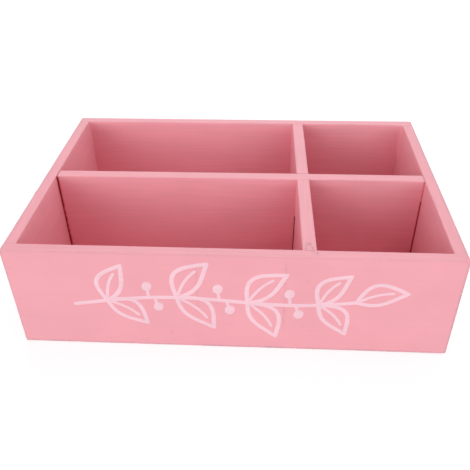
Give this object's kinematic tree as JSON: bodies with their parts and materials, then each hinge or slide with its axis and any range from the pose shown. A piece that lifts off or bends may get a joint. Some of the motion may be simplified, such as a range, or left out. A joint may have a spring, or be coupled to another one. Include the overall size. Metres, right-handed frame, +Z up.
{
  "type": "coffee station organizer",
  "caption": "Open wooden box, painted pink, whose long and cross dividers form two wide and two small square compartments for cups, capsules and packets.",
  "frame": {"origin": "centre of the underside, where the box stands on a surface", "axes": "+X to the right along the long side, +Y to the back, +Z up"},
  "size_m": [0.31, 0.21, 0.085],
  "materials": {
    "painted_wood": "satin pink paint over pine board",
    "painted_plywood": "satin pink paint over thin plywood",
    "painted_filler": "wood filler sanded flush under satin pink paint",
    "brad_steel": "bright steel wire"
  },
  "bodies": {
    "root": {"front_panel": "painted_wood", "back_panel": "painted_wood", "left_side": "painted_wood", "right_side": "painted_wood", "bottom_panel": "painted_plywood", "long_divider": "painted_wood", "cross_divider": "painted_wood", "corner_brads": "brad_steel", "divider_brads": "brad_steel", "bottom_brads": "brad_steel", "filler_plugs": "painted_filler"}
  },
  "joints": []
}
